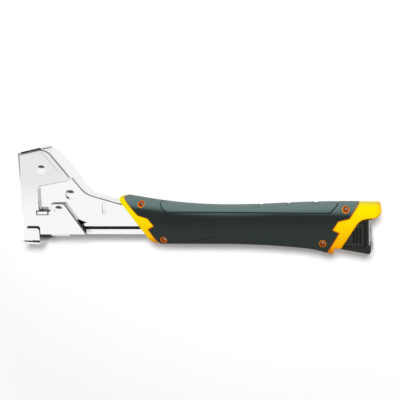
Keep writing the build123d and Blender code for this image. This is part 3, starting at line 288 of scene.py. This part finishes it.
# Plastic with a fine grain, and broad clouds of two tones where it has a colour of its own
def plastic(name, rough, grain_scale, level, grain=0.0, tones=None):
    cloud_scale, smoother, rougher = 25.0, 0.05, 0.07
    p = Paint(name)
    p.to("Specular IOR Level", level)
    vec = p.coords()
    p.fine = p.noise(vec, grain_scale, detail=2.0)
    if tones:
        low, high = tones
        p.to("Base Color", p.ramp(p.noise(vec, cloud_scale, detail=2.0), [(0.3, low), (0.7, high)]))
    p.to("Roughness", p.ramp(p.fine, [(0.3, rough - smoother), (0.7, rough + rougher)]))
    if grain:
        p.bump(p.fine, grain, PLASTIC_DEPTH)
    return p


# Head frame: painted shade on the outer sides towards the top, painted light and shade on the walls of the stepped
# panel by the way they face, and painted shade strengthening the outlines of its dimple, tab and lance
def frame_paint():
    outer_from, outer_full, top_shade_low, top_shade_high = 0.0135, 0.0150, 30, 72
    wall_from, wall_full, wall_top, wall_front = 0.0110, 0.0113, (63, 62), (12, 13)
    wall_shading_by_facing = [(0.0, 0.06), (0.35, 0.08), (0.55, 0.9), (0.88, 0.9), (0.97, 0.5)]
    dimple, dimple_half, dimple_round = at(84.0, 36.4), 0.00455, 0.00145
    dimple_line, dimple_reach, dimple_shares = (0.0005, 0.0001), 0.0062, (0.25, 0.75)
    tab, tab_half = (19.9, 31.9), (6.2, 1.9)
    tab_line, tab_share, tab_rim, tab_front = (0.0008, 0.0003), 0.9, (0.0004, 0.0001), (15.1, 14.5)
    lance, lance_half, lance_rim, lance_depth = (21.0, 35.4), (4.1, 1.6), (0.0003, -0.0001), (0.0150, 0.0145)

    p = plating("frame_plating", edge=FRAME_EDGE)
    off_middle = p.off_middle()
    # Painted shade: the outer sides of the frame darker towards the top
    top_shade = p.math("MULTIPLY", p.span(off_middle, outer_from, outer_full), p.over_y(top_shade_low, top_shade_high))
    coat = p.mix(top_shade, p.base(), PLATING_SHADED_TOP)

    # Painted light and shade on the walls of the stepped panel, lighter and darker by the way they face
    wall = p.fold("MULTIPLY", p.sideways(*CUT_WALL), p.span(off_middle, wall_from, wall_full),
                  p.over_y(*wall_top), p.over_x(*wall_front))
    coat = p.mix(wall, coat, p.ramp(p.facing(0), wall_shading_by_facing))

    # Painted shade along the outline of the dimple, stronger at its lower end
    rise = p.off(1, dimple)
    past = p.math("MAXIMUM", p.math("SUBTRACT", p.math("ABSOLUTE", rise), dimple_half), 0.0)
    reach = p.hypot(p.off(0, dimple), past)
    ring = p.math("ABSOLUTE", p.math("SUBTRACT", reach, dimple_round))
    ring = p.math("MULTIPLY", p.span(ring, *dimple_line), p.span(rise, dimple_reach, -dimple_reach, *dimple_shares))
    coat = p.mix(ring, coat, DIMPLE_SHADE_LINE)

    # Painted shade along the outline of the tab and at its front end
    off_tab = p.off_box(tab, tab_half)
    tab_edge = p.span(p.math("ABSOLUTE", off_tab), *tab_line, 0.0, tab_share)
    tab_end = p.math("MULTIPLY", p.span(off_tab, *tab_rim), p.over_x(*tab_front))
    coat = p.mix(p.math("MAXIMUM", tab_edge, tab_end), coat, TAB_SHADE_LINE)

    inside = p.math("MULTIPLY", p.span(p.off_box(lance, lance_half), *lance_rim), p.span(off_middle, *lance_depth))
    p.to("Base Color", p.mix(inside, coat, LANCE_SHADE))
    return p


# Magazine channel, whose lowest strip is painted dark as shade because it reaches lower than in the photograph
def rail_paint():
    strip_top, strip_full = 0.0019, 0.0015
    p = plating("rail_plating")
    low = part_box("magazine_channel")[0][1]
    # Painted shade on the lowest strip of the channel
    strip_shade = p.span(p.axis(1), low + strip_top, low + strip_full)
    p.to("Base Color", p.mix(strip_shade, p.base(), LIP_SHADE))
    return p


# Front plate, bright, with the side of its flange painted near black, a painted dark reflection along the sides of its
# front edge and a matt rear face
def striker_paint():
    side_from, side_full, flange_front = 0.0146, 0.0149, (0.2, 0.8)
    edge_reflection_rise, edge_reflection_front = (58, 84), (-0.8, -1.2)
    rough, rough_rear, rear_face = 0.12, 0.6, (0.4, 0.8)
    p = plating("striking_plate", rough)
    side = p.span(p.off_middle(), side_from, side_full)
    # Painted dark reflection along the sides of the front edge
    edge_reflection = p.fold("MULTIPLY", side, p.over_y(*edge_reflection_rise), p.over_x(*edge_reflection_front))
    coat = p.mix(edge_reflection, p.base(), EDGE_DARK_REFLECTION)
    # The side of the flange is painted near black
    flange_side_dark = p.fold("MULTIPLY", p.over_x(*flange_front), side, p.sideways(*SIDE_FACE))
    p.to("Base Color", p.mix(flange_side_dark, coat, NEAR_BLACK))
    p.to("Roughness", p.span(p.facing(0), *rear_face, rough, rough_rear))
    return p


# Nose foot, with painted shade on its tail and in a ragged line along the crease at the sole
def foot_paint():
    crease_streak, crease_rise = (260, 20, 60), 0.0022
    crease_top, crease_full, tail_front = at(0, 1.9).y, at(0, 1.5).y, (13.9, 14.2)
    p = plating("nose_plating")
    # Painted shade in a ragged line along the crease where the foot meets the sole, and on the tail
    ragged = p.math("MULTIPLY", p.noise(p.coords(crease_streak), 1.0, detail=2.0), crease_rise)
    crease_shade = p.span(p.math("SUBTRACT", p.axis(1), ragged), crease_top, crease_full)
    crease_shade = p.math("MULTIPLY", crease_shade, p.sideways(*SIDE_FACE))
    dark = p.math("MAXIMUM", p.over_x(*tail_front), crease_shade)
    p.to("Base Color", p.mix(dark, p.base(), NEAR_BLACK))
    return p


# Guide bracket, with painted shade in front and bright behind the tail of the foot
def guide_paint():
    shade_rear = (26.6, 24.6)
    p = metal("guide_steel", rough=0.25, tone=GUIDE_STEEL)
    p.to("Base Color", p.mix(p.over_x(*shade_rear), p.base(), GUIDE_SHADE))
    return p


# Places of the handle screws and the radius of their heads
SCREWS = ((124.2, 40.0), (146.0, 4.0), (324.0, 33.7), (302.0, 1.3))
SCREW_RADIUS = 0.0024


# Distance from the axis of the nearest handle screw
def screw_reach(p):
    return p.fold("MINIMUM", *[p.off_line(at(*place)) for place in SCREWS])


# Handle screws, painted in rings: a highlight in the centre, shade around it and an orange shade at the rim
def screw_paint():
    p = metal("screw_steel", rough=0.2)
    reach = p.math("DIVIDE", screw_reach(p), SCREW_RADIUS)
    rings = [(0.20, SCREW_HIGHLIGHT), (0.30, SCREW_SHADE), (0.58, SCREW_SHADE), (0.80, SCREW_RIM_ORANGE_SHADE)]
    p.to("Base Color", p.ramp(reach, rings))
    return p


# Lines in which the rubber meets the yellow shells
SKIN_FRONT = (
    (104.6, 52.0), (105.4, 47.3), (120.9, 29.1), (130.6, 26.2), (137.1, 18.0), (131.0, 14.7), (148.0, -9.0))
SKIN_REAR = (
    (304.0, -14.0), (305.5, -8.7), (317.3, 11.1), (311.1, 14.1), (316.8, 22.7), (327.2, 25.4), (341.0, 47.0))


# Yellow shells, with painted shade that makes them more orange low down, where they turn away, at the rear, along the
# rubber and in the screw recesses
def yellow_paint():
    heights, rear, rear_share, leaning = (-12, 40), (350, 357.5), 0.7, (0.12, 0.95)
    joint_from, joint_full, joint_share = 0.0013, 0.0005, 0.9
    recess_from, recess_full, heel_front, heel_top = 0.0034, 0.0030, (290, 294), (10, 8)
    p = plastic("yellow_plastic", rough=0.40, grain_scale=900.0, grain=0.05, level=YELLOW_LEVEL)
    # Painted shade: more orange low down
    coat = p.ramp(p.over_y(*heights), YELLOW_SHADED_BY_HEIGHT)
    # Painted shade, more orange where the shells turn away and at the rear
    turned = p.math("MAXIMUM", p.facing(0), p.math("MULTIPLY", p.facing(1), -1.0))
    coat = p.mix(p.span(turned, *leaning), coat, YELLOW_TURNED_SHADE)
    coat = p.mix(p.over_x(*rear, 0.0, rear_share), coat, YELLOW_REAR_SHADE)
    # Painted shade along the line where the rubber meets the shells
    joint = p.math("MINIMUM", p.off_path(SKIN_FRONT), p.off_path(SKIN_REAR))
    coat = p.mix(p.span(joint, joint_from, joint_full, 0.0, joint_share), coat, YELLOW_JOINT_SHADE)
    # The screws enter from one side only, and their bosses are plain on the other
    near_side = p.span(p.axis(2), at(0, 0, -1.0).z, at(0, 0, 1.0).z)
    recess = p.math("MULTIPLY", p.span(screw_reach(p), recess_from, recess_full), near_side)
    heel = p.math("MULTIPLY", p.over_x(*heel_front), p.over_y(*heel_top))
    p.to("Base Color", p.mix(recess, coat, p.mix(heel, RECESS_SHADE, HEEL_RECESS_SHADE)))
    return p


# Latch levers, with painted shade in three finger grooves
def latch_paint():
    groove_x, groove_step, grooves = 331.0, 3.1, 3
    groove_from, groove_full, groove_foot, groove_top = 0.0011, 0.0006, (0.4, 1.2), (15.8, 15.0)
    p = plastic("latch_plastic", tones=(LATCH_LOW, LATCH), **BLACK_SKIN)
    # Painted shade in the finger grooves
    groove = p.fold("MINIMUM", *[p.far(0, at(groove_x + groove_step * n, 0)) for n in range(grooves)])
    groove = p.fold("MULTIPLY", p.span(groove, groove_from, groove_full),
                    p.over_y(*groove_foot), p.over_y(*groove_top))
    p.to("Base Color", p.mix(groove, p.base(), LATCH_GROOVE_SHADE))
    return p


# Border groove of the pad on the rubber
BORDER = ((139.5, 47.0), (145.2, 36.0), (150.0, 32.2), (309.4, 30.5), (315.0, 36.3), (321.0, 46.0))


# Distance inside the border, taken as the least from its straight runs
def inside_border(p):
    x, y, sides = p.axis(0), p.axis(1), []
    for (x0, y0), (x1, y1) in zip(BORDER, BORDER[1:]):
        run = math.hypot(x1 - x0, y1 - y0)
        nx, ny = (y0 - y1) / run, (x1 - x0) / run
        offset = -(nx * at(x0, y0).x + ny * at(x0, y0).y)
        sides.append(p.math("MULTIPLY_ADD", x, nx, p.math("MULTIPLY_ADD", y, ny, offset)))
    return p.fold("MINIMUM", *sides)


# Rubber, lighter low on the flank, with painted sheen on the crest and on faces turned up, painted shade underneath
# and in the border groove, and a pad inside its border groove that is lighter with its frosted stipple and painted
# sheen
def rubber_paint():
    pad_rim, pad_share, groove_shade_from, groove_shade_full = (-0.0001, 0.0004), 0.95, 0.0006, 0.0003
    up_face, under_face, flank_rise = (0.0, 0.85), (-0.45, -0.9), (8, 26)
    crest_front, crest_slope, crest_share = at(120, 0), 0.04, 0.85
    crest_low, crest_top, pad_crest_rise = at(0, 34.5).y, at(0, 40.5).y, (30, 41)
    stipple_scale, stipple_height, grain = 1100.0, 2.5, 0.22
    p = plastic("grip_rubber", rough=0.55, grain_scale=1500.0, level=BLACK_LEVEL, tones=(RUBBER_LOW, RUBBER))
    inside = inside_border(p)
    pad = p.span(inside, *pad_rim)
    groove_shade = p.span(p.math("ABSOLUTE", inside), groove_shade_from, groove_shade_full)
    upward = p.span(p.facing(1), *up_face)

    plain = p.mix(p.over_y(*flank_rise), RUBBER_FLANK, p.base())
    # Painted sheen on the crest
    level = p.math("MULTIPLY_ADD", p.off(0, crest_front), crest_slope, p.axis(1))
    crest = p.span(level, crest_low, crest_top)
    plain = p.mix(p.math("MULTIPLY", crest, crest_share), plain, RUBBER_CREST_SHEEN)
    # Painted sheen on faces turned up
    plain = p.mix(upward, plain, RUBBER_LIT_UP)
    # Painted shade on faces turned down
    plain = p.mix(p.span(p.facing(1), *under_face), plain, RUBBER_UNDER_SHADE)

    # The pad lighter with its frosted stipple and with painted sheen
    stipple = p.noise(p.coords(), stipple_scale, detail=1.0)
    frost_and_sheen = p.ramp(stipple, [(0.3, FROST_SHEEN_LOW), (0.7, FROST_SHEEN_HIGH)])
    frost_and_sheen = p.mix(p.over_y(*pad_crest_rise), frost_and_sheen, FROST_CREST_SHEEN)
    frost_and_sheen = p.mix(upward, frost_and_sheen, FROST_LIT_UP)
    coat = p.mix(p.math("MULTIPLY", pad, pad_share), plain, frost_and_sheen)
    # Painted shade in the pad's border groove
    p.to("Base Color", p.mix(groove_shade, coat, RUBBER_GROOVE_SHADE))
    height = p.math("MULTIPLY_ADD", pad, p.math("MULTIPLY", stipple, stipple_height), p.fine)
    p.bump(height, grain, PLASTIC_DEPTH)
    return p


# Rivet with a polished dome about its own axis, in place of the grain
def rivet_paint(node):
    curve = 45.0
    p = metal(node + "_steel", rough=0.08, tone=RIVET_STEEL)
    low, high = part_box(node)
    across, along = [p.math("SUBTRACT", p.axis(i), (low[i] + high[i]) / 2) for i in (0, 1)]
    square = p.math("ADD", p.math("MULTIPLY", across, across), p.math("MULTIPLY", along, along))
    p.bump(p.math("MULTIPLY", square, -curve), strength=1.0, distance=1.0)
    return p


# Materials of the CAD nodes
wire = metal("spring_wire", rough=0.3, tone=SPRING_WIRE)
for paint, names in (
    (plating("plated_steel"), ("sole_plate",)),
    (rail_paint(), ("magazine_channel",)),
    (frame_paint(), ("head_frame",)),
    (striker_paint(), ("front_plate",)),
    (foot_paint(), ("nose_foot",)),
    (guide_paint(), ("nose_bracket",)),
    (metal("folded_steel", rough=0.22, tone=FOLDED_STEEL, streak=(60, 8, 60)), ("end_plate",)),
    (metal("plain_steel", rough=0.3, tone=PLAIN_STEEL, streak=(8, 60, 60)), (
        "arm_spacer", "hammer_block", "driver_blade", "pivot_bracket", "pivot_pin", "pusher_rod", "latch_pins",
        "spring_seat")),
    (screw_paint(), ("handle_screws",)),
    (metal("oiled_steel", rough=0.42, tone=OILED_STEEL), ("core_rail",)),
    (wire, ("return_spring", "follower_spring", "latch_spring_left", "latch_spring_right")),
    (metal("bush_brass", rough=0.32, tone=BRASS), ("pivot_bush",)),
    (yellow_paint(), ("handle_shell_left", "handle_shell_right")),
    (rubber_paint(), ("grip_left", "grip_right")),
    (latch_paint(), ("latch_lever_left", "latch_lever_right")),
    (plastic("black_plastic", tones=(BLACK_LOW, BLACK), **BLACK_SKIN), ("end_cap", "follower")),
    (rivet_paint("hammer_rivet"), ("hammer_rivet",)),
    (rivet_paint("arm_rivet"), ("arm_rivet",)),
    (rivet_paint("stop_rivet"), ("stop_rivet",)),
):
    for name in names:
        paint.put_on(NODES[name].data)


# Wound spring with closed ends, in place of the CAD spring, which is hidden
def spring(node, foot_at, axis, side, mean, gauge, turns, length):
    # Steps of a turn, sides of the wire, turns that lie closed at each end and the pitch of those
    around, ring, dead = 28, 10, 0.8
    closed = gauge * 1.06
    axis, side = Vector(axis), Vector(side)
    other = axis.cross(side)
    rise = (length - 2 * dead * closed) / (turns - 2 * dead)
    count = int(turns * around)
    bm = bmesh.new()
    rings = []
    for i in range(count + 1):
        t = i / around
        a = 2 * math.pi * t
        if t < dead:
            h, slope = closed * t, closed
        elif t > turns - dead:
            h, slope = length - closed * (turns - t), closed
        else:
            h, slope = dead * closed + rise * (t - dead), rise
        radial = side * math.cos(a) + other * math.sin(a)
        tangent = (other * math.cos(a) - side * math.sin(a)) * (math.pi * mean) + axis * slope
        tangent.normalize()
        normal = tangent.cross(radial)
        centre = foot_at + axis * h + radial * (mean / 2)
        rings.append([
            bm.verts.new(centre + radial * (gauge / 2 * math.cos(2 * math.pi * k / ring))
                         + normal * (gauge / 2 * math.sin(2 * math.pi * k / ring)))
            for k in range(ring)
        ])
    for r0, r1 in zip(rings, rings[1:]):
        for k in range(ring):
            bm.faces.new((r0[k], r0[(k + 1) % ring], r1[(k + 1) % ring], r1[k]))
    bm.faces.new(list(reversed(rings[0])))
    bm.faces.new(rings[-1])
    bmesh.ops.recalc_face_normals(bm, faces=bm.faces)
    for f in bm.faces:
        f.smooth = True
    mesh = bpy.data.meshes.new(node + "_wire")
    bm.to_mesh(mesh)
    bm.free()
    wire.put_on(mesh)
    piece = bpy.data.objects.new(node + "_wire", mesh)
    scene.collection.objects.link(piece)
    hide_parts(node)
    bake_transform(piece)


# The springs fill the boxes of the CAD springs. Each has its axis, the side that its wire starts on, its mean
# diameter, gauge and turns, and the bodies at its foot and its end
UP, REAR, LEFT, RIGHT = (0, 1, 0), (1, 0, 0), (0, 0, 1), (0, 0, -1)
for node, axis, side, mean, gauge, turns, bodies in (
    ("return_spring", UP, REAR, 0.0104, 0.0017, 7, ("magazine", "tool_body")),
    ("follower_spring", REAR, UP, 0.0035, 0.0007, 36, ("staple_follower", "pusher")),
    ("latch_spring_left", LEFT, REAR, 0.0032, 0.0005, 2.4, ("pusher", "latch_left")),
    ("latch_spring_right", RIGHT, REAR, 0.0032, 0.0005, 2.4, ("pusher", "latch_right")),
):
    low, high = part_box(node)
    foot_at = Vector([(a + b) / 2 for a, b in zip(low, high)])
    along = [abs(part) for part in axis].index(1)
    foot_at[along] = low[along] + gauge / 2 if axis[along] > 0 else high[along] - gauge / 2
    spring(node, foot_at, axis, side, mean, gauge, turns, high[along] - low[along] - gauge)

# Floor of white paper, which keeps the shadow and glows towards its edges where it is seen
FLOOR_HALF, FLOOR_DROP = 4.0, 0.0004
GLOW_FROM, GLOW_FULL, GLOW_NEAR, GLOW_FAR, GLOW_MIRRORED = 0.24, 0.80, 0.20, 1.0, 0.15
floor_mesh = bpy.data.meshes.new("floor")
bm = bmesh.new()
bmesh.ops.create_grid(bm, x_segments=1, y_segments=1, size=FLOOR_HALF)
bm.to_mesh(floor_mesh)
bm.free()
floor = bpy.data.objects.new("floor", floor_mesh)
floor.location = (0, 0, -FLOOR_DROP)
scene.collection.objects.link(floor)
paper = Paint("floor_paper")
paper.to("Roughness", 0.9)
paper.to("Specular IOR Level", 0.1)
paper.to("Base Color", paper.ramp(paper.noise(paper.coords(), 3.0), [(0.3, 0.90), (0.7, 0.91)]))
path = paper.nodes.new("ShaderNodeLightPath").outputs
mirrored = paper.math("MAXIMUM", path["Is Glossy Ray"], path["Is Transmission Ray"])
seen = paper.math("MAXIMUM", path["Is Camera Ray"], mirrored)
away = paper.hypot(paper.axis(0), paper.axis(1))
strength = paper.math("MULTIPLY", paper.span(away, GLOW_FROM, GLOW_FULL, GLOW_NEAR, GLOW_FAR),
                      paper.span(mirrored, 0.0, 1.0, 1.0, GLOW_MIRRORED))
glow = paper.nodes.new("ShaderNodeEmission")
glow.inputs["Color"].default_value = (1, 1, 1, 1)
both = paper.nodes.new("ShaderNodeAddShader")
pick = paper.nodes.new("ShaderNodeMixShader")
for start, end in (
    (strength, glow.inputs["Strength"]),
    (paper.bsdf.outputs["BSDF"], both.inputs[0]),
    (glow.outputs["Emission"], both.inputs[1]),
    (seen, pick.inputs["Fac"]),
    (paper.bsdf.outputs["BSDF"], pick.inputs[1]),
    (both.outputs["Shader"], pick.inputs[2]),
    (pick.outputs["Shader"], paper.nodes["Material Output"].inputs["Surface"]),
):
    paper.links.new(start, end)
paper.put_on(floor_mesh)

# World, a white room that is dark on the far side and lights the object less than it shows
ROOM_STOPS = ((0.0, 1.0), (0.60, 1.0), (0.67, 0.6), (0.73, 0.06), (0.86, 0.08), (1.0, 0.28))
ROOM_LIGHT, ROOM_SHOWN = 0.22, 1.0
world = bpy.data.worlds.new("studio")
world.use_nodes = True
scene.world = world
world_nodes, world_links = world.node_tree.nodes, world.node_tree.links


def world_math(kind, *values):
    node = world_nodes.new("ShaderNodeMath")
    node.operation = kind
    for i, value in enumerate(values):
        if isinstance(value, (int, float)):
            node.inputs[i].default_value = value
        else:
            world_links.new(value, node.inputs[i])
    return node.outputs[0]


way = world_nodes.new("ShaderNodeSeparateXYZ")
world_links.new(world_nodes.new("ShaderNodeTexCoord").outputs["Generated"], way.inputs["Vector"])
room = world_nodes.new("ShaderNodeValToRGB")
set_stops(room, ROOM_STOPS)
world_links.new(world_math("MULTIPLY_ADD", way.outputs["Y"], 0.5, 0.5), room.inputs["Fac"])
path = world_nodes.new("ShaderNodeLightPath").outputs
shown = world_math("MAXIMUM", world_math("MAXIMUM", path["Is Camera Ray"], path["Is Glossy Ray"]),
                   path["Is Transmission Ray"])
level = world_nodes.new("ShaderNodeMapRange")
level.inputs["To Min"].default_value = ROOM_LIGHT
level.inputs["To Max"].default_value = ROOM_SHOWN
world_links.new(shown, level.inputs["Value"])
world_links.new(room.outputs["Color"], world_nodes["Background"].inputs["Color"])
world_links.new(level.outputs["Result"], world_nodes["Background"].inputs["Strength"])

# Lamp that lights the object and is kept out of mirror reflections
LAMP_PLACE, LAMP_SIZE, LAMP_POWER = Vector((0.20, 0.50, 1.35)), (0.40, 0.34), 18.6
lamp_data = bpy.data.lights.new("key", "AREA")
lamp_data.shape = "RECTANGLE"
lamp_data.size, lamp_data.size_y = LAMP_SIZE
lamp_data.energy = LAMP_POWER
lamp = bpy.data.objects.new("key", lamp_data)
lamp.location = LAMP_PLACE
lamp.rotation_euler = (-LAMP_PLACE).to_track_quat("-Z", "Y").to_euler()
lamp.visible_glossy = False
scene.collection.objects.link(lamp)

# Camera at the photograph's angle
CAMERA_PLACE = at(342.556, 149.320, 772.023)
CAMERA_RIGHT = Vector((0.97916315, -0.03506042, -0.20002572))
CAMERA_UP = Vector((0.00697659, 0.99020991, -0.13941186))
CAMERA_BACK = Vector((0.20295528, 0.13511146, 0.96982166))
camera_data = bpy.data.cameras.new("camera")
camera_data.sensor_width = 36.0
camera_data.lens = 72.0
camera = bpy.data.objects.new("camera", camera_data)
turn = Matrix((CAMERA_RIGHT, CAMERA_UP, CAMERA_BACK)).transposed().to_4x4()
camera.matrix_world = Matrix.Translation(CAMERA_PLACE) @ turn
scene.collection.objects.link(camera)
scene.camera = camera
scene.view_settings.view_transform = "Standard"
